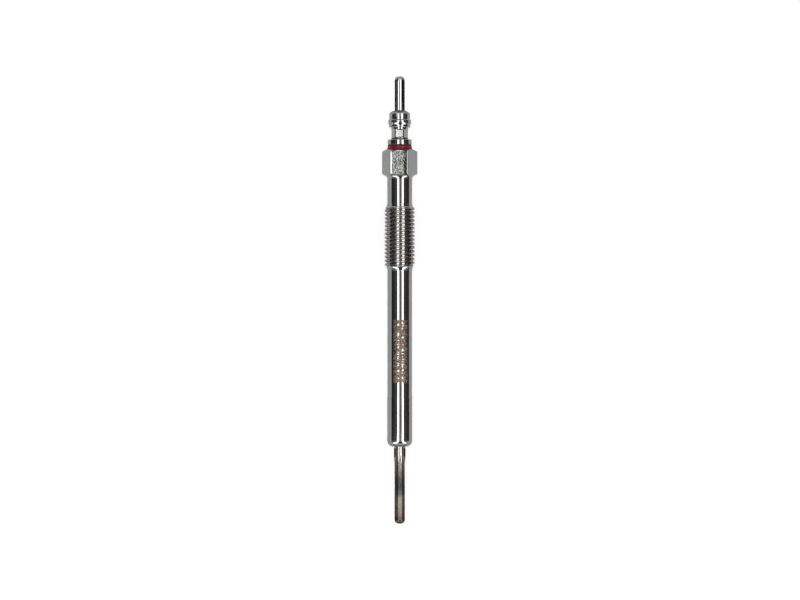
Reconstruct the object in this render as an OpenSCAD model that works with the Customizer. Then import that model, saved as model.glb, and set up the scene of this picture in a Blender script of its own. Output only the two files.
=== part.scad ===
// Diesel glow plug with a sheathed heater: M8 x 1 thread, 8 mm hex and a push-on round terminal.
// Every piece is drawn along the plug's axis with the heater tip at zero, then laid on its side:
// the terminal points along +Y and a flat of the hex faces up.

/* [Heater tube] */
// Outside diameter of the slim front
tube_front_d = 2.7; // [2.4:0.05:2.9]
// Length of the slim front, from the tip to the shoulder
tube_front_len = 15.5; // [12:0.1:18]
// Length of the shoulder cone
tube_cone_len = 1.8; // [0.8:0.1:3]
// Outside diameter behind the shoulder, where the shell grips the tube
tube_rear_d = 3.0; // [2.8:0.05:3.3]
// Length behind the shoulder that stands out of the shell
tube_rear_len = 2.7; // [1:0.1:5]
// Length pressed into the shell
tube_seat_len = 13.8; // [8:0.1:18]
// Wall thickness
tube_wall = 0.4; // [0.3:0.02:0.5]
// Thickness of the closed tip
tube_tip_wall = 0.8; // [0.5:0.05:1.2]
// Radius round the edge of the tip
tube_tip_round = 1.0; // [0.5:0.05:1.15]

/* [Coils and filling] */
// Diameter of the resistance wire
wire_d = 0.25; // [0.18:0.01:0.3]
// Turns of the heating coil
heating_turns = 13; // [8:1:16]
// Pitch of the heating coil
heating_pitch = 0.5; // [0.4:0.05:0.65]
// Turns of the control coil
control_turns = 18; // [10:1:20]
// Pitch of the control coil
control_pitch = 0.65; // [0.45:0.05:0.7]
// Thickness of the magnesia between the coils and the tube
fill_wall = 0.2; // [0.15:0.01:0.3]
// Thickness of the magnesia under the lowest turn
fill_floor = 0.6; // [0.4:0.05:1]
// Length of the gasket in the mouth of the tube
gasket_len = 2.5; // [1.5:0.1:4]

/* [Shell] */
// Diameter of the land round the heater seat
land_d = 6.48; // [6.2:0.02:6.7]
// Length of the land, with its rounded nose
land_len = 12.7; // [6:0.1:16]
// Radius round the nose
nose_round = 1.5; // [0.5:0.05:1.6]
// Length of the step between land and shank
land_step_len = 0.3; // [0.1:0.05:1]
// Diameter of the long lower shank
shank_d = 6.37; // [6:0.01:6.6]
// Length of the long lower shank
shank_len = 32.4; // [20:0.1:60]
// Length of the flare that leads into the thread
thread_lead_len = 1.2; // [0.4:0.1:2]
// Outside diameter of the thread
thread_d = 7.8; // [7.6:0.01:8]
// Diameter at the ends of the thread, where the end chamfers start
thread_core_d = 6.9; // [6.7:0.02:7.2]
// Length of the thread, with its end chamfers
thread_len = 15.6; // [10:0.1:24]
// Pitch of the thread
thread_pitch = 1.0; // [0.75:0.25:1.25]
// Depth of the thread, from crest to root
thread_depth = 0.5; // [0.3:0.02:0.64]
// Width of the thread's crests
thread_crest = 0.34; // [0.1:0.02:0.36]
// Width of the thread's roots
thread_root = 0.26; // [0.1:0.02:0.36]
// Length of the thread run-out cone
thread_runout_len = 0.8; // [0.4:0.1:2]
// Diameter of the upper shank
upper_d = 6.42; // [6.1:0.02:6.6]
// Length of the upper shank
upper_len = 6.3; // [3:0.1:20]
// Diameter of the collar where its flare meets the hex
collar_d = 6.9; // [6.6:0.02:7.2]
// Length of the collar's flare
collar_len = 0.9; // [0.3:0.1:2]
// Hex across flats
hex_af = 8.0; // [8:0.5:10]
// Length of the hex
hex_len = 6.8; // [6:0.1:12]
// Diameter of the hex's end faces, inside their 30 degree chamfers
hex_face_d = 7.3; // [7:0.05:7.8]

/* [Rod and seals] */
// Diameter of the centre rod
rod_d = 2.6; // [2.2:0.05:2.9]
// Diameter of the rod's front stem, inside the tube
rod_stem_d = 1.3; // [1.1:0.05:1.5]
// Diameter of the rod's end in the terminal
rod_end_d = 2.0; // [1.6:0.05:2.1]
// Length of the rod's end in the terminal
rod_end_len = 5.6; // [3:0.1:7]
// Length of the taper from the stem to the rod
rod_taper_len = 1.2; // [0.6:0.1:2]
// Air gap round the rod in the shell
rod_air = 0.5; // [0.4:0.05:0.6]
// Diameter of the counterbore in the hex
counterbore_d = 5.0; // [4.6:0.05:5.4]
// Depth of the counterbore
counterbore_len = 5.0; // [3.5:0.1:5.5]

/* [Insulating bush] */
// Diameter of the lip that lies on the hex
bush_lip_d = 6.65; // [6.4:0.05:7]
// Height of the lip
bush_lip_len = 0.55; // [0.3:0.05:0.8]
// Diameter of the crown under the terminal
bush_crown_d = 6.15; // [5.8:0.05:6.3]
// Height of the head, lip and crown together
bush_head_len = 1.32; // [1.2:0.01:3]

/* [Terminal] */
// Diameter of the flange
flange_d = 6.2; // [5.6:0.05:7]
// Thickness of the flange
flange_len = 1.3; // [0.6:0.05:2]
// Diameter of the neck before it is crimped
neck_d = 4.33; // [4:0.01:4.8]
// Length of the neck, from flange to bead
neck_len = 3.15; // [2.8:0.05:6]
// Across flats of the hexagonal crimp
crimp_af = 3.63; // [3.4:0.01:3.8]
// Length of the crimp
crimp_len = 1.95; // [1:0.05:2.2]
// Distance from the flange to the crimp
crimp_gap = 0.6; // [0.3:0.05:0.9]
// Diameter of the snap bead
bead_d = 5.42; // [5:0.02:5.8]
// Length of the snap bead
bead_len = 4.4; // [3.9:0.1:6]
// Radius round the top of the bead
bead_round = 1.38; // [0.5:0.01:1.4]
// Diameter over the bead's ridge
ridge_d = 5.96; // [5.8:0.02:6.4]
// Width of the ridge along the axis
ridge_len = 1.7; // [1:0.1:2]
// Distance from the bead's underside to the middle of the ridge
ridge_at = 1.5; // [1.3:0.05:1.7]
// Diameter of the pin
pin_d = 2.56; // [2.2:0.02:2.6]
// Length of the pin above the bead
pin_len = 8.83; // [5:0.01:14]
// Radius round the end of the pin
pin_round = 1.0; // [0.3:0.05:1.05]

/* [Fits] */
// Gap left in a pressed or cast-in joint, on the radius
press_gap = 0.01; // [0.005:0.005:0.03]
// Gap left in a slip-on joint, on the radius
slip_gap = 0.05; // [0.02:0.01:0.1]

/* [Hidden] */
$fn = 96;
// Overlap of solids that are joined, or cut, past their common face
overlap = 1;
// Small rounds on the turned and moulded edges
edge_round = 0.15;
neck_fillet = 0.2;
bead_foot_round = 0.3;
// Sides of the wire's section and stations along one turn of a coil
wire_sides = 6;
turn_steps = 16;
// Arc over which the heating coil comes down to the tip
tail_angle = 60;
tail_steps = 6;
// Turns of the control coil that grip the nose of the rod
nose_turns = 2;

// Places along the axis, counted from the heater tip
tube_cone_z = tube_front_len;
tube_rear_z = tube_cone_z + tube_cone_len;
shell_z = tube_rear_z + tube_rear_len;
tube_mouth_z = shell_z + tube_seat_len;
land_end_z = shell_z + land_len;
shank_z = land_end_z + land_step_len;
shank_end_z = shank_z + shank_len;
thread_z = shank_end_z + thread_lead_len;
thread_end_z = thread_z + thread_len;
upper_z = thread_end_z + thread_runout_len;
upper_end_z = upper_z + upper_len;
hex_z = upper_end_z + collar_len;
hex_end_z = hex_z + hex_len;
counterbore_z = hex_end_z - counterbore_len;
flange_z = hex_end_z + bush_head_len;
neck_z = flange_z + flange_len;
bead_z = neck_z + neck_len;
pin_z = bead_z + bead_len;
total_len = pin_z + pin_len;

// Radii that several pieces share
tube_front_in_r = tube_front_d / 2 - tube_wall;
tube_rear_in_r = tube_rear_d / 2 - tube_wall;
tube_in_round = max(tube_tip_round - tube_wall, wire_d);
wire_r = wire_d / 2;
coil_r = tube_front_in_r - fill_wall - wire_r;
nose_r = coil_r - wire_r - slip_gap;
rod_r = rod_d / 2;
bore_r = rod_r + rod_air;
counterbore_r = counterbore_d / 2;
ring_section_r = (counterbore_r - rod_r) / 2 - press_gap;
hex_corner_r = hex_af / 2 / cos(30);
thread_r = thread_d / 2;
thread_chamfer = (thread_d - thread_core_d) / 2;

// Places of the coils: the lowest turn lies on the floor of magnesia, the top turns grip the rod
coil_z = tube_tip_wall + fill_floor + wire_r + slip_gap;
control_z = coil_z + heating_turns * heating_pitch;
coil_end_z = control_z + control_turns * control_pitch;
stem_z = coil_end_z + wire_r + slip_gap;
nose_z = coil_end_z - nose_turns * control_pitch;
gasket_z = tube_mouth_z - gasket_len;

// The plug rests on the flat of the hex, or on the thread where that is larger
rest_r = max(hex_af, thread_d, flange_d) / 2;

// Points of an arc about a centre in the radius and height plane
function arc(center, radius, from, to, steps = 10) =
    [for (i = [0:steps])
        let (a = from + (to - from) * i / steps)
        [center[0] + radius * cos(a), center[1] + radius * sin(a)]];

// Points of an arc that leaves a cylinder smoothly and flares out to a wider radius
function flare(from, to) =
    let (rise = to[0] - from[0],
         run = to[1] - from[1],
         r = (run ^ 2 + rise ^ 2) / (2 * rise))
    arc([from[0] + r, from[1]], r, 180, 180 - acos(1 - rise / r), 6);

// Outline of the grooves between the crests: rings of the thread's pitch and profile stand in for its helix
function thread_grooves() =
    let (count = floor((thread_len - 2 * thread_chamfer) / thread_pitch),
         first_crest_z = thread_z + (thread_len - count * thread_pitch) / 2,
         root_r = thread_r - thread_depth,
         flank_z = thread_crest / 2,
         root_z = (thread_pitch - thread_root) / 2,
         groove = [[thread_r, flank_z], [root_r, root_z],
                   [root_r, thread_pitch - root_z], [thread_r, thread_pitch - flank_z]])
    [for (i = [0:count - 1], p = groove) [p[0], first_crest_z + i * thread_pitch + p[1]]];

function reversed(points) = [for (i = [len(points) - 1:-1:0]) points[i]];

// Outline of the heater tube from the middle of its tip to its mouth, outside or inside
function tube_outline(tip_z, round_r, front_r, rear_r, end_z) = concat(
    [[0, tip_z]],
    arc([front_r - round_r, tip_z + round_r], round_r, -90, 0),
    [[front_r, tube_cone_z], [rear_r, tube_rear_z], [rear_r, end_z]]);

// Stations of a coil as an angle and a height, one for each step of its turns
function coil_stations(start_z, start_angle, turns, pitch) =
    [for (i = [0:turns * turn_steps])
        [start_angle + 360 * i / turn_steps, start_z + pitch * i / turn_steps]];

// Stations of the heating coil's tail, from its weld in the rounded corner of the tip up to the first turn
function tail_stations() =
    let (corner_r = tube_in_round - wire_r - press_gap,
         corner_x = max(tube_in_round - fill_wall - wire_r, 0),
         weld_z = tube_tip_wall + tube_in_round - sqrt(corner_r ^ 2 - corner_x ^ 2))
    [for (i = [0:tail_steps - 1])
        [tail_angle * (i / tail_steps - 1), weld_z + (coil_z - weld_z) * i / tail_steps]];

// Lays a piece on its side as the whole plug comes to rest
module lay_down() {
    translate([0, -total_len / 2, rest_r])
        rotate([-90, 0, 0])
            children();
}

// A solid of revolution round the plug's axis
module turned(outline) {
    rotate_extrude()
        polygon(outline);
}

// A ring of rectangular section
module ring(in_r, out_r, from_z, to_z) {
    translate([0, 0, from_z])
        rotate_extrude()
            translate([in_r, 0])
                square([out_r - in_r, to_z - from_z]);
}

// A hexagonal bar with a corner at each side
module hex_bar(across_flats, length) {
    cylinder(h = length, r = across_flats / 2 / cos(30), $fn = 6);
}

// A round wire wound at the coil radius through its stations
module wound_wire(stations) {
    last = len(stations) - 1;
    points = [for (s = stations, k = [0:wire_sides - 1])
        let (a = 360 * k / wire_sides, r = coil_r + wire_r * cos(a))
        [r * cos(s[0]), r * sin(s[0]), s[1] + wire_r * sin(a)]];
    start_cap = [for (k = [wire_sides - 1:-1:0]) k];
    end_cap = [for (k = [0:wire_sides - 1]) last * wire_sides + k];
    sides = [for (i = [0:last - 1], k = [0:wire_sides - 1], half = [0:1])
        let (a = i * wire_sides + k,
             b = i * wire_sides + (k + 1) % wire_sides,
             c = b + wire_sides,
             d = a + wire_sides)
        half == 0 ? [a, b, c] : [a, c, d]];
    polyhedron(points, concat([start_cap, end_cap], sides));
}

// Thin-walled sheath with a closed, rounded tip
module heater_tube() {
    outside = tube_outline(0, tube_tip_round, tube_front_d / 2, tube_rear_d / 2, tube_mouth_z);
    inside = tube_outline(tube_tip_wall, tube_in_round, tube_front_in_r, tube_rear_in_r, tube_mouth_z);
    color("dimgray")
        lay_down()
            turned(concat(outside, reversed(inside)));
}

// Resistance coil at the tip, whose tail comes down to its weld
module heating_coil() {
    turns = coil_stations(coil_z, 0, heating_turns, heating_pitch);
    color("goldenrod")
        lay_down()
            wound_wire(concat(tail_stations(), turns));
}

// Current-limiting coil in series, from the heating coil to the nose of the rod
module control_coil() {
    color("darkgoldenrod")
        lay_down()
            wound_wire(coil_stations(control_z, 360 * heating_turns, control_turns, control_pitch));
}

// Compacted magnesia: a core inside the coils and a sleeve round them, joined under the lowest turn
module powder_fill() {
    body = tube_outline(tube_tip_wall + press_gap, tube_in_round, tube_front_in_r - press_gap,
                        tube_rear_in_r - press_gap, gasket_z - press_gap);
    room_in_r = coil_r - wire_r - slip_gap;
    room_out_r = coil_r + wire_r + slip_gap;
    floor_z = tube_tip_wall + fill_floor;
    weld_margin = 12;
    color("whitesmoke")
        lay_down()
            difference() {
                turned(concat(body, [[0, gasket_z - press_gap]]));
                // Room for the turns
                ring(room_in_r, room_out_r, floor_z, stem_z);
                // Room for the tail
                rotate([0, 0, -tail_angle - weld_margin])
                    rotate_extrude(angle = tail_angle + 2 * weld_margin)
                        translate([room_in_r, 0])
                            square([room_out_r - room_in_r, floor_z + wire_r]);
                // Room for the rod's nose and stem
                translate([0, 0, nose_z - press_gap])
                    cylinder(h = stem_z - nose_z + 2 * press_gap, r = room_in_r + press_gap);
                translate([0, 0, stem_z - press_gap])
                    cylinder(h = gasket_z - stem_z + overlap, r = rod_stem_d / 2 + press_gap);
            }
}

// Rubber sleeve that closes the mouth of the tube round the stem
module tube_gasket() {
    color("black")
        lay_down()
            ring(rod_stem_d / 2 + press_gap, tube_rear_in_r - press_gap, gasket_z, tube_mouth_z);
}

// Steel stud from the coils to the terminal
module centre_rod() {
    taper_z = tube_mouth_z + slip_gap;
    end_z = flange_z + rod_end_len;
    color("lightgray")
        lay_down()
            turned([[0, nose_z], [nose_r, nose_z], [nose_r, stem_z], [rod_stem_d / 2, stem_z],
                    [rod_stem_d / 2, taper_z], [rod_r, taper_z + rod_taper_len],
                    [rod_r, flange_z - slip_gap], [rod_end_d / 2, flange_z - slip_gap],
                    [rod_end_d / 2, end_z - edge_round], [rod_end_d / 2 - edge_round, end_z], [0, end_z]]);
}

// Hex with its 30 degree end chamfers
module wrench_hex() {
    chamfer_len = (hex_corner_r - hex_face_d / 2) * tan(30);
    translate([0, 0, hex_z])
        intersection() {
            hex_bar(hex_af, hex_len);
            turned([[0, 0], [hex_face_d / 2, 0], [hex_corner_r, chamfer_len],
                    [hex_corner_r, hex_len - chamfer_len], [hex_face_d / 2, hex_len], [0, hex_len]]);
        }
}

// Turned body: rounded nose, land, shank, thread, upper shank and hex, with a stepped bore
module shell_body() {
    land_r = land_d / 2;
    outline = concat(
        [[0, shell_z]],
        arc([land_r - nose_round, shell_z + nose_round], nose_round, -90, 0),
        [[land_r, land_end_z], [shank_d / 2, shank_z]],
        flare([shank_d / 2, shank_end_z], [thread_core_d / 2, thread_z]),
        [[thread_r, thread_z + thread_chamfer]],
        thread_grooves(),
        [[thread_r, thread_end_z - thread_chamfer], [thread_core_d / 2, thread_end_z], [upper_d / 2, upper_z]],
        flare([upper_d / 2, upper_end_z], [collar_d / 2, hex_z]),
        [[collar_d / 2, hex_z + overlap], [0, hex_z + overlap]]);
    color("silver")
        lay_down()
            difference() {
                union() {
                    turned(outline);
                    wrench_hex();
                }
                // Seat of the heater tube
                translate([0, 0, shell_z - overlap])
                    cylinder(h = tube_seat_len + 2 * overlap, r = tube_rear_d / 2 + press_gap);
                // Clear bore round the rod
                translate([0, 0, tube_mouth_z])
                    cylinder(h = counterbore_z - tube_mouth_z + overlap, r = bore_r);
                // Counterbore for the seal and the bush
                translate([0, 0, counterbore_z])
                    cylinder(h = counterbore_len + overlap, r = counterbore_r);
            }
}

// Round rubber ring on the floor of the counterbore
module o_ring_seal() {
    color("black")
        lay_down()
            translate([0, 0, counterbore_z + ring_section_r + press_gap])
                rotate_extrude()
                    translate([(counterbore_r + rod_r) / 2, 0])
                        circle(r = ring_section_r, $fn = 48);
}

// Red moulded insulator: a spigot in the counterbore and a lipped head between hex and terminal
module insulating_bush() {
    in_r = rod_r + slip_gap;
    spigot_r = counterbore_r - slip_gap;
    spigot_z = counterbore_z + 2 * ring_section_r + 2 * press_gap;
    lip_r = bush_lip_d / 2;
    lip_z = hex_end_z + bush_lip_len;
    crown_r = bush_crown_d / 2;
    lip_round = bush_lip_len / 2;
    color("firebrick")
        lay_down()
            turned(concat(
                [[in_r, spigot_z], [spigot_r, spigot_z], [spigot_r, hex_end_z]],
                arc([lip_r - lip_round, hex_end_z + lip_round], lip_round, -90, 90),
                [[crown_r, lip_z]],
                arc([crown_r - edge_round, flange_z - edge_round], edge_round, 0, 90, 4),
                [[in_r, flange_z]]));
}

// Terminal in one piece: flange, crimped neck, snap bead and round pin, with a blind hole for the rod
module terminal_pin() {
    flange_r = flange_d / 2;
    neck_r = neck_d / 2;
    bead_r = bead_d / 2;
    pin_r = pin_d / 2;
    top_round = min(bead_round, bead_r - pin_r);
    ridge_steps = 12;
    ridge = [for (i = [0:ridge_steps])
        let (t = i / ridge_steps - 0.5)
        [bead_r + (ridge_d - bead_d) / 4 * (1 + cos(360 * t)), bead_z + ridge_at + ridge_len * t]];
    outline = concat(
        [[0, flange_z], [flange_r, flange_z]],
        arc([flange_r - edge_round, neck_z - edge_round], edge_round, 0, 90, 4),
        arc([neck_r + neck_fillet, neck_z + neck_fillet], neck_fillet, 270, 180, 4),
        [[neck_r, bead_z]],
        arc([bead_r - bead_foot_round, bead_z + bead_foot_round], bead_foot_round, -90, 0, 5),
        ridge,
        arc([bead_r - top_round, pin_z - top_round], top_round, 0, 90),
        [[pin_r, pin_z]],
        arc([pin_r - pin_round, total_len - pin_round], pin_round, 0, 90),
        [[0, total_len]]);
    color("silver")
        lay_down()
            difference() {
                turned(outline);
                // Flats pressed into the neck
                translate([0, 0, neck_z + crimp_gap])
                    difference() {
                        cylinder(h = crimp_len, r = neck_r + edge_round);
                        translate([0, 0, -overlap])
                            hex_bar(crimp_af, crimp_len + 2 * overlap);
                    }
                // Blind hole for the rod
                translate([0, 0, flange_z - overlap])
                    cylinder(h = rod_end_len + slip_gap + overlap, r = rod_end_d / 2 + press_gap);
            }
}

heater_tube();
heating_coil();
control_coil();
powder_fill();
tube_gasket();
centre_rod();
shell_body();
o_ring_seal();
insulating_bush();
terminal_pin();
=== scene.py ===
import math

import bpy
import numpy as np
from mathutils import Matrix, Vector


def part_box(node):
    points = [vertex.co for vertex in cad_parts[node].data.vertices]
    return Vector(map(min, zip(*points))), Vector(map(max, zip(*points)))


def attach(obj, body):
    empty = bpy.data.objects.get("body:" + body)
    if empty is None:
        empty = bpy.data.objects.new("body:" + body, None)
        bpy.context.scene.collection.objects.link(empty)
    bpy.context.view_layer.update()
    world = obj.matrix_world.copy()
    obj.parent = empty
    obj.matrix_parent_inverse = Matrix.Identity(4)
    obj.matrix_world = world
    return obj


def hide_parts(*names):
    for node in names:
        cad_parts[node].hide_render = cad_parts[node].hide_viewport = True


bl_info = {
    "name": "Diesel Glow Plug",
    "version": (1, 0, 0),
    "blender": (4, 5, 0),
    "location": "View3D > Sidebar > Glow Plug",
    "description": "Finished meshes, surfaces and studio for a sheathed diesel glow plug",
    "category": "Mesh",
}

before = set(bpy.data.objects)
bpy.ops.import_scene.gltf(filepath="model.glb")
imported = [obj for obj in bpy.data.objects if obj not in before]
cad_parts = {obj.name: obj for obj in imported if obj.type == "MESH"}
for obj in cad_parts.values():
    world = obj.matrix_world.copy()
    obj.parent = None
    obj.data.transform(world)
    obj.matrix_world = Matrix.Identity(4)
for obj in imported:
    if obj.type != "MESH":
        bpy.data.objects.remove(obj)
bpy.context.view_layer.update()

MM = 0.001

# Where the solids lie: the plug's axis runs along Y, and every place along it is a Y value in metres
SHELL_LOW, SHELL_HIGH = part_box("shell_body")
TUBE_LOW, TUBE_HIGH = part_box("heater_tube")
BUSH_LOW, BUSH_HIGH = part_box("insulating_bush")
TERMINAL_LOW, TERMINAL_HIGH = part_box("terminal_pin")
AXIS_Z = (SHELL_LOW.z + SHELL_HIGH.z) / 2

# The photograph's frame, and the scale at which the plug shows in it
PHOTO_WIDTH_PX = 800
PHOTO_PX_PER_MM = 3.856
PHOTO_AXIS_X_PX = 399.7


def linear(hex_colour):
    """Turns an sRGB hex colour such as #B4B2AE to linear red, green, blue and alpha."""
    channels = [int(hex_colour[i:i + 2], 16) / 255 for i in (1, 3, 5)]
    return tuple(c / 12.92 if c <= 0.04045 else ((c + 0.055) / 1.055) ** 2.4 for c in channels) + (1.0,)


def length_mm(name, description, millimetres):
    """A length that a user may change, with its default in millimetres."""
    return bpy.props.FloatProperty(
        name=name, description=description, default=millimetres * MM, min=0.0, precision=5, unit="LENGTH")


def angle_degrees(name, description, degrees):
    """An angle that a user may change, with its default in degrees."""
    return bpy.props.FloatProperty(
        name=name, description=description, default=math.radians(degrees), subtype="ANGLE")


def colour_hex(name, description, hex_colour):
    """A colour that a user may change, with its default as an sRGB hex value."""
    return bpy.props.FloatVectorProperty(
        name=name, description=description, default=linear(hex_colour)[:3], size=3, min=0.0, max=1.0,
        subtype="COLOR")


class ShellSettings(bpy.types.PropertyGroup):
    """Sizes and colours of the shell."""
    nose_round: length_mm("Nose round", "Radius round the heater end of the shell", 1.5)
    land_radius: length_mm("Land radius", "Radius of the land round the heater seat", 3.24)
    land_length: length_mm("Land length", "Length of the land with its nose", 12.7)
    land_step: length_mm("Land step", "Length of the step from land to shank", 0.3)
    shank_radius: length_mm("Shank radius", "Radius of the long lower shank", 3.185)
    shank_length: length_mm("Shank length", "Length of the long lower shank", 32.4)
    lead_length: length_mm("Thread lead", "Length of the flare below the thread", 1.2)
    thread_length: length_mm("Thread length", "Length of the thread with its chamfers", 15.6)
    thread_radius: length_mm("Thread radius", "Outside radius of the thread", 3.9)
    thread_end_radius: length_mm("Thread end radius", "Radius where the thread's chamfers start", 3.45)
    thread_pitch: length_mm("Thread pitch", "Advance of the thread in one turn", 1.0)
    thread_depth: length_mm("Thread depth", "Depth of the thread from crest to root", 0.5)
    thread_crest: length_mm("Thread crest", "Width of the thread's crests", 0.4)
    thread_root: length_mm("Thread root", "Width of the thread's roots", 0.3)
    runout_length: length_mm("Thread run-out", "Length of the cone above the thread", 0.8)
    upper_radius: length_mm("Upper shank radius", "Radius between thread and hex", 3.21)
    upper_length: length_mm("Upper shank length", "Length between thread and hex", 6.3)
    collar_radius: length_mm("Collar radius", "Radius of the collar where it meets the hex", 3.45)
    collar_length: length_mm("Collar length", "Length of the flare under the hex", 0.9)
    hex_face_radius: length_mm("Hex face radius", "Radius of the hex's end faces", 3.65)
    hex_corner_round: length_mm("Hex corner round", "Radius on the hex's long edges", 0.15)
    hex_crown: length_mm("Hex crown", "Fall of each flat from its middle to its edges", 0.02)
    hex_roll: length_mm("Hex roll-off", "Fall of the peened flat along its right edge", 0.07)
    peen_left: length_mm("Left margin", "Smooth margin left of the peened flat", 0.34)
    peen_right: length_mm("Right margin", "Smooth margin right of the peened flat", 0.25)
    peen_ends: length_mm("End margin", "Smooth margin at both ends of the peened flat", 0.3)
    counterbore_radius: length_mm("Counterbore radius", "Radius of the seal's counterbore", 2.5)
    counterbore_depth: length_mm("Counterbore depth", "Depth of the seal's counterbore", 5.0)
    bore_radius: length_mm("Bore radius", "Radius of the clear bore round the rod", 1.8)
    mark_start: length_mm("Mark start", "Heater tip to the start of the hatched mark", 36.5)
    mark_length: length_mm("Mark length", "Length of the hatched mark along the shank", 16.3)
    mark_left: angle_degrees("Mark left edge", "Angle of the mark's left edge from the top", -28.0)
    mark_right: angle_degrees("Mark right edge", "Angle of the mark's right edge from the top", 41.5)
    plate_colour: colour_hex("Plate colour", "Bright nickel plate", "#8B8C8C")
    mark_colour: colour_hex("Mark colour", "Oxide left by the marking laser", "#615142")


class TerminalSettings(bpy.types.PropertyGroup):
    """Sizes and colours of the terminal."""
    flange_length: length_mm("Flange length", "Thickness of the flange", 1.3)
    edge_round: length_mm("Edge round", "Radius on the flange's edges", 0.16)
    neck_radius: length_mm("Neck radius", "Radius of the neck before crimping", 2.165)
    neck_length: length_mm("Neck length", "Length of the neck", 3.15)
    neck_fillet: length_mm("Neck fillet", "Radius at the foot of the neck", 0.2)
    foot_length: length_mm("Neck foot", "Height of the unpolished foot of the neck", 0.4)
    crimp_inset: length_mm("Crimp inset", "Distance of the crimp's flats from the axis", 1.9)
    crimp_corner: length_mm("Crimp corner", "Distance of the crimp's corner facets from the axis", 2.1)
    crimp_start: length_mm("Crimp start", "Distance from the flange to the crimp", 0.6)
    crimp_length: length_mm("Crimp length", "Length of the crimp", 1.95)
    crimp_ramp: length_mm("Crimp ramp", "Length over which a flat runs out", 0.3)
    bead_radius: length_mm("Bead radius", "Radius of the snap bead", 2.67)
    bead_length: length_mm("Bead length", "Length of the snap bead", 4.4)
    bead_dome: length_mm("Bead dome", "Height of the dome on the bead", 0.9)
    bead_foot_round: length_mm("Bead foot round", "Radius round the underside of the bead", 0.18)
    foot_radius: length_mm("Bead foot radius", "Radius of the bead under its ridge", 2.73)
    ridge_radius: length_mm("Ridge radius", "Radius of the bead's ridge", 2.97)
    ridge_place: length_mm("Ridge place", "Distance from the bead's underside to the ridge", 0.52)
    ridge_slope: length_mm("Ridge slope", "Length of the slope under the ridge", 0.85)
    ridge_crest: length_mm("Ridge crest", "Width of the ridge's crest", 0.42)
    ridge_flank: length_mm("Ridge flank", "Length of the flank above the ridge", 0.3)
    pin_radius: length_mm("Pin radius", "Radius of the round pin", 1.28)
    pin_round: length_mm("Pin round", "Radius round the end of the pin", 1.0)
    hole_radius: length_mm("Hole radius", "Radius of the blind hole for the rod", 1.01)
    hole_depth: length_mm("Hole depth", "Depth of the blind hole for the rod", 5.65)
    plate_colour: colour_hex("Plate colour", "Bright nickel plate", "#8D8E8E")


class BushSettings(bpy.types.PropertyGroup):
    """Sizes and colour of the insulating bush."""
    lip_radius: length_mm("Lip radius", "Radius of the lip on the hex", 3.325)
    lip_length: length_mm("Lip length", "Height of the lip", 0.3)
    groove_radius: length_mm("Groove radius", "Radius of the groove above the lip", 3.08)
    groove_length: length_mm("Groove length", "Height of the groove above the lip", 0.22)
    crown_radius: length_mm("Crown radius", "Radius of the crown above the groove", 3.19)
    crown_top_radius: length_mm("Crown top radius", "Radius of the crown under the terminal", 2.9)
    crown_slope: length_mm("Crown slope", "Height of the slope at the crown's top", 0.45)
    spigot_radius: length_mm("Spigot radius", "Radius of the spigot in the counterbore", 2.45)
    bore_radius: length_mm("Bore radius", "Radius of the hole for the rod", 1.35)
    colour: colour_hex("Bush colour", "Moulded red insulator", "#640B19")


class TubeSettings(bpy.types.PropertyGroup):
    """Sizes and colours of the heater tube."""
    front_radius: length_mm("Front radius", "Radius of the slim front", 1.32)
    front_length: length_mm("Front length", "Length of the slim front", 15.5)
    cone_length: length_mm("Cone length", "Length of the shoulder cone", 1.8)
    wall: length_mm("Wall", "Wall thickness", 0.37)
    tip_wall: length_mm("Tip wall", "Thickness of the closed tip", 0.8)
    tip_round: length_mm("Tip round", "Radius round the edge of the tip", 1.0)
    bright_colour: colour_hex("Bright colour", "Polished alloy near the shell", "#8E8C88")
    tint_colour: colour_hex("Tint colour", "Straw to brown heat tint", "#716B62")
    dark_colour: colour_hex("Dark colour", "Dark oxide where the tube glows", "#39393A")


class StageSettings(bpy.types.PropertyGroup):
    """Camera, lamps and floor."""
    camera_distance: length_mm("Camera distance", "Distance from the plug's axis", 1500.0)
    camera_turn: angle_degrees("Camera turn", "Turn of the camera about the plug's axis", 2.4)
    lamp_distance: length_mm("Lamp distance", "Distance of the strip lamps", 500.0)
    lamp_length: length_mm("Lamp length", "Length of the strip lamps along the plug", 640.0)
    card_reach: length_mm("Card reach", "How far the dark cards reach towards the heater", 230.0)
    card_slant: length_mm("Card slant", "How much shorter the dark cards are beside the lamps", 140.0)
    wing_reach: length_mm("Wing reach", "How far the bright wings reach past the cards", 410.0)
    lamp_radiance: bpy.props.FloatProperty(
        name="Lamp radiance", description="Brightness of the strip lamps", default=4.2, min=0.0)
    top_strength: bpy.props.FloatProperty(
        name="Top light", description="Brightness of the light from above", default=2.75, min=0.0)
    top_spread: angle_degrees("Top spread", "Width of the light from above, which softens the shadow", 4.0)
    fill_strength: bpy.props.FloatProperty(
        name="Fill", description="Brightness of the room on matt surfaces", default=0.25, min=0.0)
    floor_colour: colour_hex("Floor colour", "Pale paper", "#F6F6F6")


class GlowPlugSettings(bpy.types.PropertyGroup):
    """Everything that a user may change."""
    shell: bpy.props.PointerProperty(type=ShellSettings)
    terminal: bpy.props.PointerProperty(type=TerminalSettings)
    bush: bpy.props.PointerProperty(type=BushSettings)
    tube: bpy.props.PointerProperty(type=TubeSettings)
    stage: bpy.props.PointerProperty(type=StageSettings)


# Outlines and meshes

# Half the angle that one flat of a hex takes up
HALF_FLAT = math.pi / 6


def arc(centre_y, centre_r, radius, start, end, steps):
    """Points of an arc as (y, r) pairs, with angles in degrees from the axis outwards."""
    turns = np.radians(np.linspace(start, end, steps + 1))
    return [(centre_y + radius * math.cos(t), centre_r + radius * math.sin(t)) for t in turns]


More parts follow.
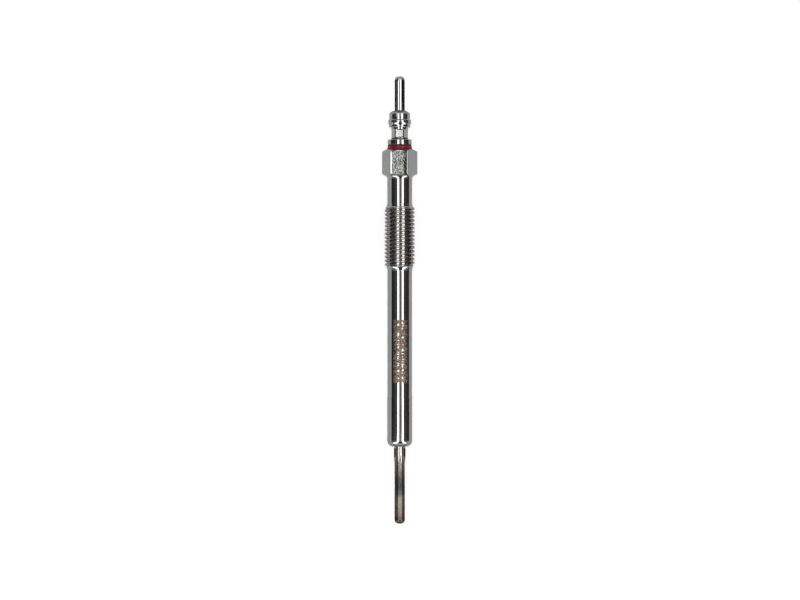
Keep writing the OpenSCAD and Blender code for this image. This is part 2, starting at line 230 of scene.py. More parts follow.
def flare(start_y, start_r, end_y, end_r, steps=8):
    """Points of an arc as (y, r) pairs that leaves a cylinder smoothly and widens to the end radius."""
    rise, run = end_r - start_r, end_y - start_y
    radius = (run ** 2 + rise ** 2) / (2 * rise)
    turns = np.linspace(0.0, math.acos(1 - rise / radius), steps + 1)
    return [(start_y + radius * math.sin(t), start_r + radius * (1 - math.cos(t))) for t in turns]


def firm(outline, margin=0.04 * MM):
    """Adds points near the ends of stretches over five margins long, so that shading turns near corners."""
    points = [outline[0]]
    for (y0, r0), (y1, r1) in zip(outline, outline[1:]):
        share = margin / max(math.hypot(y1 - y0, r1 - r0), margin)
        if share < 0.2:
            points += [(y0 + (y1 - y0) * s, r0 + (r1 - r0) * s) for s in (share, 1.0 - share)]
        points.append((y1, r1))
    return points


def even(start, end, step):
    """Evenly spaced places from start to end, about a step apart, both ends included."""
    count = max(int(round(abs(end - start) / step)), 1)
    return np.linspace(start, end, count + 1)


def straight(start, end, step, radius):
    """Points of a cylinder as (y, r) pairs, about a step apart, after its start."""
    return [(y, radius) for y in even(start, end, step)[1:]]


def hex_angles(near_corner, between):
    """Angles round the axis that crowd together at the corners of a hex, whose flats face up and down."""
    spread = list(np.linspace(near_corner[-1], 60.0 - near_corner[-1], between)[1:-1])
    corners = [-30.0 + 60.0 * k for k in range(6)]
    return np.radians([corner + offset for corner in corners for offset in list(near_corner) + spread])


def soft_min(a, b, blend):
    """The smaller of two values, rounded where they cross."""
    share = np.clip(0.5 + 0.5 * (b - a) / blend, 0.0, 1.0)
    return b + (a - b) * share - blend * share * (1.0 - share)


def smooth_step(low, high, value):
    """Runs from nought to one between two values, with no corner."""
    t = np.clip((value - low) / (high - low), 0.0, 1.0)
    return t * t * (3.0 - 2.0 * t)


def hex_radius(angles, inset, corner_round, crown=0.0):
    """Distance from the axis to a hex with rounded corners, whose crowned flats lie inset from the axis."""
    turn = (angles + HALF_FLAT) % (2 * HALF_FLAT) - HALF_FLAT
    across = np.tan(turn) / math.tan(HALF_FLAT)
    inset = inset - crown * across ** 2
    centre = (inset - corner_round) / math.cos(HALF_FLAT)
    from_corner = HALF_FLAT - np.abs(turn)
    reach = np.maximum(corner_round ** 2 - (centre * np.sin(from_corner)) ** 2, 0.0)
    rounded = centre * np.cos(from_corner) + np.sqrt(reach)
    tangent = np.arctan((inset - corner_round) * math.tan(HALF_FLAT) / inset)
    return np.where(np.abs(turn) > tangent, rounded, inset / np.cos(turn))


def add_object(name, data, matrix=Matrix.Identity(4), hidden_from=()):
    """Adds an object to the scene, hidden from some kinds of rays."""
    made = bpy.data.objects.new(name, data)
    made.matrix_world = matrix
    for rays in hidden_from:
        setattr(made, f"visible_{rays}", False)
    bpy.context.scene.collection.objects.link(made)
    return made


def skin(name, rings, angles, joined_ends=False):
    """Closed mesh over rings about the axis: (y, radius) pairs, with one radius or one for each angle.

    A ring of no radius is a point. With joined ends the last ring meets the first, as on a pierced piece."""
    points = []
    loops = []
    for y, radius in rings:
        if np.max(radius) == 0.0:
            loops.append([len(points)] * len(angles))
            points.append((0.0, y, AXIS_Z))
            continue
        loops.append(range(len(points), len(points) + len(angles)))
        radii = np.broadcast_to(radius, len(angles))
        points += [(r * math.sin(a), y, AXIS_Z + r * math.cos(a)) for r, a in zip(radii, angles)]
    faces = []
    pairs = list(zip(loops, loops[1:])) + ([(loops[-1], loops[0])] if joined_ends else [])
    for low, high in pairs:
        for j in range(len(angles)):
            k = (j + 1) % len(angles)
            corners = [low[j], low[k], high[k], high[j]]
            faces.append([c for i, c in enumerate(corners) if c not in corners[:i]])
    mesh = bpy.data.meshes.new(name)
    mesh.from_pydata(points, [], faces)
    mesh.validate()
    mesh.polygons.foreach_set("use_smooth", [True] * len(mesh.polygons))
    sharp_angle = math.radians(38)
    mesh.set_sharp_from_angle(angle=sharp_angle)
    return add_object(name, mesh)


def turned(name, outline, columns, joined_ends=False):
    """Closed mesh of a plain turned piece from its outline of (y, r) pairs."""
    return skin(name, firm(outline), np.linspace(0.0, math.tau, columns, endpoint=False), joined_ends)


def finish_piece(piece, node_name, materials):
    """Makes a piece stand for its solid, ride on the plug and carry its materials."""
    for material in materials:
        piece.data.materials.append(material)
    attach(piece, "root")
    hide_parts(node_name)


# Materials

# Bright metal, on which thin oxide keeps the reflection nearly as weak at the outline as on the face
BRIGHT_METAL = {"Metallic": 1.0, "Specular Tint": linear("#DCDCDC")}


def shade(colour, factor=1.0):
    """A colour with its alpha, darker or lighter by a factor."""
    return tuple(min(c * factor, 1.0) for c in colour[:3]) + (1.0,)


def add_node(tree, kind, inputs=None, stops=None, **settings):
    """Adds a shader node of a kind, such as TexNoise, with its settings.

    An input that is a node or an output is linked, any other is set. A node stands for its first output."""
    made = tree.nodes.new(f"ShaderNode{kind}")
    for name, value in settings.items():
        setattr(made, name, value)
    for key, value in (inputs or {}).items():
        if isinstance(value, bpy.types.Node):
            value = next(output for output in value.outputs if output.enabled)
        if isinstance(value, bpy.types.NodeSocket):
            tree.links.new(value, made.inputs[key])
        else:
            made.inputs[key].default_value = value
    for place, colour in stops or []:
        ramp = made.color_ramp
        fresh = ramp.elements[-int(place)] if place in (0.0, 1.0) else ramp.elements.new(place)
        fresh.color = colour
    return made


def new_material(name):
    """An empty node material and its node tree."""
    material = bpy.data.materials.new(name)
    material.use_nodes = True
    material.node_tree.nodes.clear()
    return material, material.node_tree


def real_grain(tree, across_mm, along_mm):
    """Inputs of a pattern whose grains have a real size across and along the plug, in millimetres."""
    place = add_node(tree, "TexCoord")
    across, along = 1 / (across_mm * MM), 1 / (along_mm * MM)
    grains = add_node(tree, "Mapping", {
        "Vector": place.outputs["Object"], "Scale": (across, along, across)})
    return {"Vector": grains, "Scale": 1.0}


def finish_material(material, relief, strength, depth_mm, inputs):
    """Ends a material with a shader of these inputs, in which a pattern's relief shows to a depth."""
    tree = material.node_tree
    bump = add_node(tree, "Bump", {"Height": relief, "Strength": strength, "Distance": depth_mm * MM})
    shader = add_node(tree, "BsdfPrincipled", {**inputs, "Normal": bump})
    add_node(tree, "OutputMaterial", {"Surface": shader})
    return material


def nickel_plate_turned(name, colour, roughness=0.05):
    """Bright nickel plate over turned, polished steel: a clear mirror with faint lathe rings and clouds."""
    material, tree = new_material(name)
    # Real lathe rings are under 0.1 mm apart, too fine to show, so they are drawn about three times as coarse
    rings = add_node(tree, "TexNoise", {**real_grain(tree, 40.0, 0.28), "Detail": 3.0, "Roughness": 0.6})
    clouds = add_node(tree, "TexNoise", {**real_grain(tree, 2.2, 5.0), "Detail": 4.0, "Roughness": 0.55})
    haze = add_node(tree, "MapRange", {
        "Value": clouds, "From Min": 0.3, "From Max": 0.75,
        "To Min": roughness * 0.8, "To Max": roughness * 1.5})
    tone = add_node(tree, "Mix", {
        "Factor": clouds, "A": shade(colour, 0.93), "B": shade(colour, 1.05)}, data_type="RGBA")
    return finish_material(material, rings, 0.03, 0.02, {
        **BRIGHT_METAL, "Base Color": tone, "Roughness": haze})


def nickel_plate_rolled(name, colour, root_radius, crest_radius):
    """Nickel plate over a rolled thread: polished crests, and satin grooves with burnish marks round them."""
    material, tree = new_material(name)
    place = add_node(tree, "TexCoord")
    spoke = add_node(tree, "Mapping", {
        "Vector": place.outputs["Object"], "Location": (0.0, 0.0, -AXIS_Z), "Scale": (1.0, 0.0, 1.0)})
    radius = add_node(tree, "VectorMath", {"Vector": spoke}, operation="LENGTH")
    depth = crest_radius - root_radius
    polish = add_node(tree, "MapRange", {
        "Value": radius, "From Min": root_radius + 0.5 * depth, "From Max": root_radius + 0.9 * depth})
    marks = add_node(tree, "TexNoise", {**real_grain(tree, 1.4, 0.5), "Detail": 3.0, "Roughness": 0.5})
    dull = add_node(tree, "Mix", {
        "Factor": marks, "A": linear("#6E6A66"), "B": linear("#9A9691")}, data_type="RGBA")
    tone = add_node(tree, "Mix", {"Factor": polish, "A": dull, "B": shade(colour, 0.85)}, data_type="RGBA")
    haze = add_node(tree, "MapRange", {"Value": polish, "To Min": 0.26, "To Max": 0.06})
    return finish_material(material, marks, 0.08, 0.02, {
        **BRIGHT_METAL, "Base Color": tone, "Roughness": haze})


def nickel_plate_drawn(name, colour):
    """Nickel plate over cold-drawn hex bar: a satin grey with fine streaks along the bar."""
    material, tree = new_material(name)
    # Real drawing streaks are a few hundredths of a millimetre wide, so they are drawn coarser to show
    streaks = add_node(tree, "TexNoise", {**real_grain(tree, 0.22, 6.0), "Detail": 3.0, "Roughness": 0.5})
    clouds = add_node(tree, "TexNoise", {**real_grain(tree, 1.6, 2.4), "Detail": 3.0})
    tone = add_node(tree, "Mix", {
        "Factor": clouds, "A": shade(colour, 0.94), "B": shade(colour, 1.14)}, data_type="RGBA")
    haze = add_node(tree, "MapRange", {
        "Value": streaks, "From Min": 0.3, "From Max": 0.7, "To Min": 0.16, "To Max": 0.26})
    return finish_material(material, streaks, 0.08, 0.02, {
        **BRIGHT_METAL, "Base Color": tone, "Roughness": haze})


def nickel_plate_peened(name):
    """Nickel plate over a peened flat: small dents whose colours are painted glints, light or dark as if each
    caught a lamp or the dark, and painted shade along one edge.
    """
    material, tree = new_material(name)
    place = add_node(tree, "TexCoord")
    axes = add_node(tree, "SeparateXYZ", {"Vector": place.outputs["Object"]})
    # Painted shade: fewer painted glints, and a darker flat, towards its right edge
    right_edge_shade = add_node(tree, "MapRange", {
        "Value": axes.outputs["X"], "From Min": 1.0 * MM, "From Max": 1.75 * MM, "To Max": 0.4})
    dents = add_node(tree, "TexVoronoi", real_grain(tree, 0.18, 0.18))
    catch = add_node(tree, "Math", {0: dents.outputs["Color"], 1: right_edge_shade}, operation="SUBTRACT")
    # Painted glints: each dent's colour runs from near black to bright plate
    glint = add_node(tree, "MapRange", {"Value": catch, "From Min": 0.24, "From Max": 0.78})
    tone = add_node(tree, "Mix", {
        "Factor": glint, "A": linear("#141414"), "B": linear("#8E8E8C")}, data_type="RGBA")
    return finish_material(material, dents.outputs["Distance"], 0.35, 0.05, {
        "Base Color": tone, "Metallic": 1.0, "Roughness": 0.25})


def laser_hatched_plate(name, plate, oxide):
    """Nickel plate with a laser hatch: dull brown oxide lines, and bright plate in the gaps between them."""
    material, tree = new_material(name)
    # Real hatch lines are about 0.1 mm wide, so the broken strokes round the shank are drawn coarser to show
    strokes = add_node(tree, "TexNoise", {**real_grain(tree, 0.85, 0.36), "Detail": 1.0, "Roughness": 0.5})
    etched = add_node(tree, "MapRange", {"Value": strokes, "From Min": 0.4, "From Max": 0.47})
    speckle = add_node(tree, "TexNoise", {**real_grain(tree, 0.4, 0.34), "Detail": 2.0})
    grit = add_node(tree, "MapRange", {"Value": speckle, "From Min": 0.42, "From Max": 0.6})
    brown = add_node(tree, "Mix", {
        "Factor": grit, "A": shade(oxide, 0.3), "B": shade(oxide, 1.65)}, data_type="RGBA")
    tone = add_node(tree, "Mix", {"Factor": etched, "A": shade(plate), "B": brown}, data_type="RGBA")
    haze = add_node(tree, "MapRange", {"Value": etched, "To Min": 0.1, "To Max": 0.5})
    shine = add_node(tree, "MapRange", {"Value": etched, "To Min": 1.0, "To Max": 0.55})
    return finish_material(material, speckle, 0.2, 0.03, {
        "Base Color": tone, "Metallic": shine, "Roughness": haze})


def heat_tinted_alloy(name, settings):
    """Drawn nickel alloy that has glowed: bright near the shell, then straw, purple-brown and dark oxide."""
    material, tree = new_material(name)
    place = add_node(tree, "TexCoord")
    axes = add_node(tree, "SeparateXYZ", {"Vector": place.outputs["Object"]})
    blotches = add_node(tree, "TexNoise", {**real_grain(tree, 0.9, 1.6), "Detail": 4.0, "Roughness": 0.65})
    wander = add_node(tree, "MapRange", {"Value": blotches, "To Min": -1.1 * MM, "To Max": 1.1 * MM})
    along = add_node(tree, "Math", {0: axes.outputs["Y"], 1: wander}, operation="ADD")
    shoulder = TUBE_LOW.y + settings.front_length + settings.cone_length
    reach = add_node(tree, "MapRange", {"Value": along, "From Min": TUBE_LOW.y, "From Max": shoulder})
    tone = add_node(tree, "ValToRGB", {"Fac": reach}, stops=[
        (0.0, linear("#403B3A")), (0.08, linear("#544A46")), (0.17, linear("#6A6058")),
        (0.28, shade(settings.tint_colour)), (0.4, linear("#6E6962")), (0.45, linear("#4B4B4C")),
        (0.55, shade(settings.dark_colour)), (0.64, linear("#423D3E")), (0.72, linear("#554847")),
        (0.8, linear("#625A54")), (0.9, linear("#716B65")), (0.96, linear("#7E7B77")),
        (1.0, shade(settings.bright_colour))])
    spots = add_node(tree, "TexNoise", {**real_grain(tree, 0.5, 0.6), "Detail": 3.0, "Roughness": 0.6})
    mottled = add_node(tree, "Mix", {
        "Factor": 0.6, "A": tone, "B": spots}, data_type="RGBA", blend_type="OVERLAY")
    haze = add_node(tree, "MapRange", {
        "Value": reach, "From Min": 0.75, "From Max": 1.0, "To Min": 0.28, "To Max": 0.06})
    return finish_material(material, spots, 0.3, 0.004, {
        **BRIGHT_METAL, "Base Color": mottled, "Roughness": haze})


def moulded_red_insulator(name, colour):
    """Glass-filled polyamide, moulded: deep red with a satin skin, paler flow marks, and painted shade in the
    corners.
    """
    material, tree = new_material(name)
    flow = add_node(tree, "TexNoise", {**real_grain(tree, 2.0, 0.4), "Detail": 4.0, "Roughness": 0.6})
    streak = add_node(tree, "MapRange", {"Value": flow, "From Min": 0.36, "From Max": 0.64})
    flow_tone = add_node(tree, "Mix", {
        "Factor": streak, "A": shade(colour, 0.8), "B": shade(colour, 2.4)}, data_type="RGBA")
    # Painted shade in the corners under the terminal and on the hex, where the surface is also rougher
    place = add_node(tree, "TexCoord")
    axes = add_node(tree, "SeparateXYZ", {"Vector": place.outputs["Object"]})
    under = add_node(tree, "MapRange", {
        "Value": axes.outputs["Y"], "From Min": BUSH_HIGH.y - 0.55 * MM, "From Max": BUSH_HIGH.y - 0.3 * MM})
    on_hex = add_node(tree, "MapRange", {
        "Value": axes.outputs["Y"], "From Min": SHELL_HIGH.y + 0.25 * MM, "From Max": SHELL_HIGH.y + 0.5 * MM,
        "To Min": 0.7, "To Max": 0.0})
    corner_shade = add_node(tree, "Math", {0: under, 1: on_hex}, operation="MAXIMUM")
    tone = add_node(tree, "Mix", {"Factor": corner_shade, "A": flow_tone, "B": shade(colour, 0.25)}, data_type="RGBA")
    haze = add_node(tree, "MapRange", {"Value": corner_shade, "To Min": 0.22, "To Max": 0.9})
    return finish_material(material, flow, 0.3, 0.03, {
        "Base Color": tone, "Roughness": haze, "IOR": 1.53, "Specular IOR Level": 0.25})


def grained(name, colour, grain_mm, metallic, roughness, contrast=0.25, bump_mm=0.02):
    """A plain surface in its own colour, whose grain is drawn coarser than the real one so that it shows."""
    material, tree = new_material(name)
    grain = add_node(tree, "TexNoise", {**real_grain(tree, *grain_mm), "Detail": 4.0})
    tone = add_node(tree, "Mix", {
        "Factor": grain, "A": shade(colour, 1 - contrast), "B": shade(colour, 1 + contrast)},
        data_type="RGBA")
    return finish_material(material, grain, 0.3, bump_mm, {
        "Base Color": tone, "Metallic": metallic, "Roughness": roughness})


# Operators

class GLOWPLUG_OT_shell(bpy.types.Operator):
    """Builds the shell with its helical thread, rounded hex and stepped bore"""
    bl_idname = "glow_plug.shell"
    bl_label = "Shell"

    def execute(self, context):
        size = context.scene.glow_plug.shell
        angles = hex_angles([-4.2, -3.2, -2.4, -1.6, -0.8, 0.0, 0.8, 1.6, 2.4, 3.2, 4.2], 15)
        nose = SHELL_LOW.y
        land_end = nose + size.land_length
        shank = land_end + size.land_step
        shank_end = shank + size.shank_length
        thread = shank_end + size.lead_length
        thread_end = thread + size.thread_length
        upper = thread_end + size.runout_length
        upper_end = upper + size.upper_length
        hex_low = upper_end + size.collar_length
        hex_high = SHELL_HIGH.y
        mark = TUBE_LOW.y + size.mark_start
        mark_end = mark + size.mark_length
        chamfer = size.thread_radius - size.thread_end_radius
        root_radius = size.thread_radius - size.thread_depth
        seat_radius = TUBE_HIGH.x
        inset = (SHELL_HIGH.z - SHELL_LOW.z) / 2

        # Nose, land and shank
        outline = [(nose, seat_radius)]
        nose_round = size.nose_round
        outline += arc(nose + nose_round, size.land_radius - nose_round, nose_round, 180, 90, 14)
        outline += straight(nose + nose_round, land_end, 4 * MM, size.land_radius)
        outline += [(shank, size.shank_radius)]
        outline += straight(shank, mark, 2 * MM, size.shank_radius)
        outline += straight(mark, mark_end, 2 * MM, size.shank_radius)
        outline += straight(mark_end, shank_end, 3 * MM, size.shank_radius)
        rings = firm(outline)

        # Flare, thread and cone: the thread is cut into the blank and fades out at both ends
        steps_in_pitch = 24
        roundness = 0.4
        lead_in, lead_out = 0.3 * MM, 0.4 * MM
        half_crest = size.thread_crest / size.thread_pitch / 2
        half_root = size.thread_root / size.thread_pitch / 2
        crests = math.floor((size.thread_length - 2 * chamfer) / size.thread_pitch)
        first_crest = thread + (size.thread_length - crests * size.thread_pitch) / 2
        blank = flare(shank_end, size.shank_radius, thread, size.thread_end_radius)
        blank += [(thread + chamfer, size.thread_radius), (thread_end - chamfer, size.thread_radius),
                  (thread_end, size.thread_end_radius), (upper, size.upper_radius)]
        blank_places, blank_radii = zip(*blank)
        for y in even(shank_end, upper, size.thread_pitch / steps_in_pitch)[1:]:
            envelope = np.interp(y, blank_places, blank_radii)
            turn = (y - first_crest) / size.thread_pitch - angles / math.tau
            from_crest = np.abs((turn + 0.5) % 1.0 - 0.5)
            flank = np.clip((from_crest - half_crest) / (0.5 - half_crest - half_root), 0.0, 1.0)
            rounded = (1.0 - roundness) * flank + roundness * smooth_step(0.0, 1.0, flank)
            fade = smooth_step(thread - lead_in, thread + chamfer, y)
            fade = fade * (1.0 - smooth_step(thread_end - chamfer - lead_out, thread_end, y))
            cut = size.thread_radius - size.thread_depth * rounded
            rings.append((y, np.minimum(envelope, cut + (envelope - cut) * (1.0 - fade))))

        # Upper shank and collar
        under_hex = hex_low - 0.02 * MM
        outline = [(upper, size.upper_radius)]
        outline += flare(upper_end, size.upper_radius, under_hex, size.collar_radius)
        rings += firm(outline)[1:]

        # Hex with chamfered ends, whose top flat rolls off along its right edge
        roll_start = 0.88
        flats = hex_radius(angles, inset, size.hex_corner_round, size.hex_crown)
        across = np.tan(angles) / math.tan(HALF_FLAT)
        on_top = (np.cos(angles) > 0.8) & (across <= 1.0)
        rolled = np.clip((across - roll_start) / (1.0 - roll_start), 0.0, 1.0)
        flats = flats - size.hex_roll * np.where(on_top, rolled, 0.0)
        slope = math.tan(math.radians(60))
        edge_blend = 0.12 * MM
        fine, coarse, end_zone = 0.05 * MM, 0.6 * MM, 1.0 * MM
        hex_places = np.concatenate((
            even(hex_low, hex_low + end_zone, fine),
            even(hex_low + end_zone, hex_high - end_zone, coarse)[1:],
            even(hex_high - end_zone, hex_high, fine)[1:]))
        for y in hex_places:
            cone = size.hex_face_radius + min(y - hex_low, hex_high - y) * slope
            rings.append((y, soft_min(flats, cone, edge_blend)))

        # Counterbore, clear bore and tube seat, back to the nose
        counterbore = hex_high - size.counterbore_depth
        rings += [(hex_high, size.counterbore_radius), (counterbore, size.counterbore_radius),
                  (counterbore, size.bore_radius), (TUBE_HIGH.y, size.bore_radius),
                  (TUBE_HIGH.y, seat_radius)]

        piece = skin("shell", rings, angles, joined_ends=True)
        plate = size.plate_colour
        finish_piece(piece, "shell_body", [
            nickel_plate_turned("nickel_plate_turned", plate),
            nickel_plate_rolled("nickel_plate_rolled_thread", plate, root_radius, size.thread_radius),
            nickel_plate_drawn("nickel_plate_drawn_hex", plate),
            nickel_plate_peened("nickel_plate_peened_flat"),
            laser_hatched_plate("nickel_plate_laser_hatched", plate, size.mark_colour)])
        polished, threaded, drawn, peened, hatched = range(5)
        half_width = inset * math.tan(HALF_FLAT)
        polished_turn = math.radians(34)
        thread_margin, bore_margin = 0.1 * MM, 0.05 * MM
        for face in piece.data.polygons:
            x, y, z = face.center
            turn = math.atan2(x, z - AXIS_Z)
            if math.hypot(x, z - AXIS_Z) <= size.counterbore_radius + bore_margin:
                continue
            if thread + chamfer - thread_margin < y < thread_end - chamfer + thread_margin:
                face.material_index = threaded
            elif y > hex_low:
                dented = hex_low + size.peen_ends < y < hex_high - size.peen_ends and z > AXIS_Z
                dented = dented and size.peen_left - half_width < x < half_width - size.peen_right
                face.material_index = peened if dented else polished if abs(turn) < polished_turn else drawn
            elif mark < y < mark_end and size.mark_left < turn < size.mark_right:
                face.material_index = hatched
        return {"FINISHED"}


class GLOWPLUG_OT_heater_tube(bpy.types.Operator):
    """Builds the stepped heater tube with its rounded tip"""
    bl_idname = "glow_plug.heater_tube"
    bl_label = "Heater Tube"

    def execute(self, context):
        size = context.scene.glow_plug.tube
        tip, mouth = TUBE_LOW.y, TUBE_HIGH.y
        rear_radius = TUBE_HIGH.x
        cone = tip + size.front_length
        rear = cone + size.cone_length
        blend = 0.3 * MM
        cone_low, cone_high = cone - blend, rear + blend
        inner_round = size.tip_round - size.wall
        inner_tip = tip + size.tip_wall
        inner_radius = size.front_radius - size.wall
        outline = [(tip, 0.0)]
        outline += arc(tip + size.tip_round, size.front_radius - size.tip_round, size.tip_round, 180, 90, 14)
        outline += straight(tip + size.tip_round, cone_low, 1.5 * MM, size.front_radius)
        for y in even(cone_low, cone_high, 0.15 * MM)[1:]:
            share = smooth_step(cone_low, cone_high, y)
            outline.append((y, size.front_radius + (rear_radius - size.front_radius) * share))
        outline += straight(cone_high, mouth, 2 * MM, rear_radius)
        outline += [(mouth, rear_radius - size.wall), (rear, rear_radius - size.wall), (cone, inner_radius)]
        outline += arc(inner_tip + inner_round, inner_radius - inner_round, inner_round, 90, 180, 6)
        outline += [(inner_tip, 0.0)]
        piece = turned("heater_sheath", outline, 96)
        finish_piece(piece, "heater_tube", [
            heat_tinted_alloy("nickel_alloy_heat_tinted", size)])
        return {"FINISHED"}


class GLOWPLUG_OT_bush(bpy.types.Operator):
    """Builds the red insulating bush with its lip, crown and spigot"""
    bl_idname = "glow_plug.bush"
    bl_label = "Insulating Bush"

    def execute(self, context):
        size = context.scene.glow_plug.bush
        foot, hex_top, top = BUSH_LOW.y, SHELL_HIGH.y, BUSH_HIGH.y
        lip_round = size.lip_length / 2
        groove = hex_top + size.lip_length
        crown = groove + size.groove_length
        groove_low, groove_high = groove + 0.04 * MM, crown - 0.08 * MM
        crown_taper = 0.05 * MM
        outline = [(foot, size.bore_radius), (foot, size.spigot_radius), (hex_top, size.spigot_radius)]
        outline += arc(hex_top + lip_round, size.lip_radius - lip_round, lip_round, 180, 20, 12)
        outline += [(groove_low, size.groove_radius), (groove_high, size.groove_radius),
                    (crown, size.crown_radius), (top - size.crown_slope, size.crown_radius - crown_taper),
                    (top, size.crown_top_radius), (top, size.bore_radius)]
        piece = turned("red_bush", outline, 128, joined_ends=True)
        finish_piece(piece, "insulating_bush", [
            moulded_red_insulator("polyamide_moulded_red", size.colour)])
        return {"FINISHED"}


class GLOWPLUG_OT_terminal(bpy.types.Operator):
    """Builds the terminal with its flange, crimped neck, snap bead and pin"""
    bl_idname = "glow_plug.terminal"
    bl_label = "Terminal"

    def execute(self, context):
        size = context.scene.glow_plug.terminal
        angles = hex_angles(np.linspace(-5.0, 5.0, 21), 14)
        flange, end = TERMINAL_LOW.y, TERMINAL_HIGH.y
        flange_radius = TERMINAL_HIGH.x
        neck = flange + size.flange_length
        bead = neck + size.neck_length
        pin = bead + size.bead_length
        hole_end = flange + size.hole_depth
        low_round = size.edge_round / 2

        # Flange and neck
        outline = [(flange, size.hole_radius)]
        outline += arc(flange + low_round, flange_radius - low_round, low_round, 180, 90, 4)
        outline += arc(neck - size.edge_round, flange_radius - size.edge_round, size.edge_round, 90, 0, 6)
        fillet = size.neck_fillet
        outline += arc(neck + fillet, size.neck_radius + fillet, fillet, 180, 270, 6)
        outline += straight(neck + fillet, bead, 0.08 * MM, size.neck_radius)

        # Bead with its ridge and dome
        foot_round = size.bead_foot_round
        outline += arc(bead + foot_round, size.foot_radius - foot_round, foot_round, 180, 90, 6)
        ridge = bead + size.ridge_place
        crest = ridge + size.ridge_slope
        crest_end = crest + size.ridge_crest
        ridge_end = crest_end + size.ridge_flank
        for y in even(ridge, ridge_end, 0.05 * MM):
            rise = (size.ridge_radius - size.foot_radius) * smooth_step(ridge, crest, y)
            fall = (size.ridge_radius - size.bead_radius) * smooth_step(crest_end, ridge_end, y)
            outline.append((y, size.foot_radius + rise - fall))
        shoulder = pin - size.bead_dome
        dome_power = 1.6
        for share in np.linspace(0.0, 1.0, 25) ** 2:
            drop = (size.bead_radius - size.pin_radius) * share ** dome_power
            outline.append((shoulder + size.bead_dome * share, size.bead_radius - drop))

        # Pin
        outline += straight(pin, end - size.pin_round, 2 * MM, size.pin_radius)
        outline += arc(end - size.pin_round, size.pin_radius - size.pin_round, size.pin_round, 90, 0, 14)[1:]
        outline += [(end, 0.0)]

        # Crimp, pressed into the neck, on a mesh that starts at the floor of the blind hole for the rod
        crimp_low = neck + size.crimp_start
        crimp_high = crimp_low + size.crimp_length
        half_ramp = size.crimp_ramp / 2
        crimp_round = 0.02 * MM
        facets = size.crimp_corner / np.cos(angles % (2 * HALF_FLAT) - HALF_FLAT)
        flats = np.minimum(hex_radius(angles, size.crimp_inset, crimp_round), facets)
        rings = [(hole_end, 0.0), (hole_end, size.hole_radius)]
        for y, r in firm(outline):
            depth = smooth_step(crimp_low - half_ramp, crimp_low + half_ramp, y)
            depth = depth * (1.0 - smooth_step(crimp_high - half_ramp, crimp_high + half_ramp, y))
            rings.append((y, r + (np.minimum(flats, r) - r) * depth))

        piece = skin("terminal", rings, angles)
        finish_piece(piece, "terminal_pin", [
            nickel_plate_turned("nickel_plate_terminal", size.plate_colour, 0.04),
            nickel_plate_turned("nickel_plate_satin_bead", size.plate_colour, 0.2),
            grained("nickel_plate_unpolished", linear("#5B4F49"), (0.5, 0.2), 1.0, 0.45),
            grained("nickel_plate_pressed", linear("#8D8D8C"), (0.6, 0.5), 1.0, 0.09, 0.5, 0.002)])
        # A darker, rougher brown band at the foot of the neck, in the corner by the flange
        satin, darkened, pressed = 1, 2, 3
        finish_zones = ((satin, shoulder + 0.1 * MM, pin + 0.05 * MM),
                        (darkened, neck + 0.001 * MM, neck + size.foot_length),
                        (pressed, crimp_low, crimp_high))
        pin_margin = 0.05 * MM
        for face in piece.data.polygons:
            x, y, z = face.center
            if math.hypot(x, z - AXIS_Z) <= size.pin_radius + pin_margin:
                continue
            for index, low, high in finish_zones:
                if low < y < high:
                    face.material_index = index
        return {"FINISHED"}


class GLOWPLUG_OT_inner_parts(bpy.types.Operator):
    """Gives the pieces inside the plug the surfaces of their real materials"""
    bl_idname = "glow_plug.inner_parts"
    bl_label = "Inner Parts"

    def execute(self, context):
        wire = grained("resistance_wire_drawn_oxidised", linear("#8C7F70"), (0.12, 0.12), 1.0, 0.38)
        magnesia = grained("magnesia_pressed_powder", linear("#ECEAE4"), (0.25, 0.25), 0.0, 0.9, 0.06, 0.05)
        rubber = grained("fluoro_rubber_moulded", linear("#2A2928"), (0.3, 0.3), 0.0, 0.55, 0.2, 0.02)
        steel = grained("steel_rod_drawn", linear("#B9B8B6"), (0.15, 6.0), 1.0, 0.24, 0.08)
        finishes = {"heating_coil": wire, "control_coil": wire, "powder_fill": magnesia,
                    "tube_gasket": rubber, "o_ring_seal": rubber, "centre_rod": steel}
        for node_name, material in finishes.items():
            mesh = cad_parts[node_name].data
            mesh.materials.clear()
            mesh.materials.append(material)
        return {"FINISHED"}


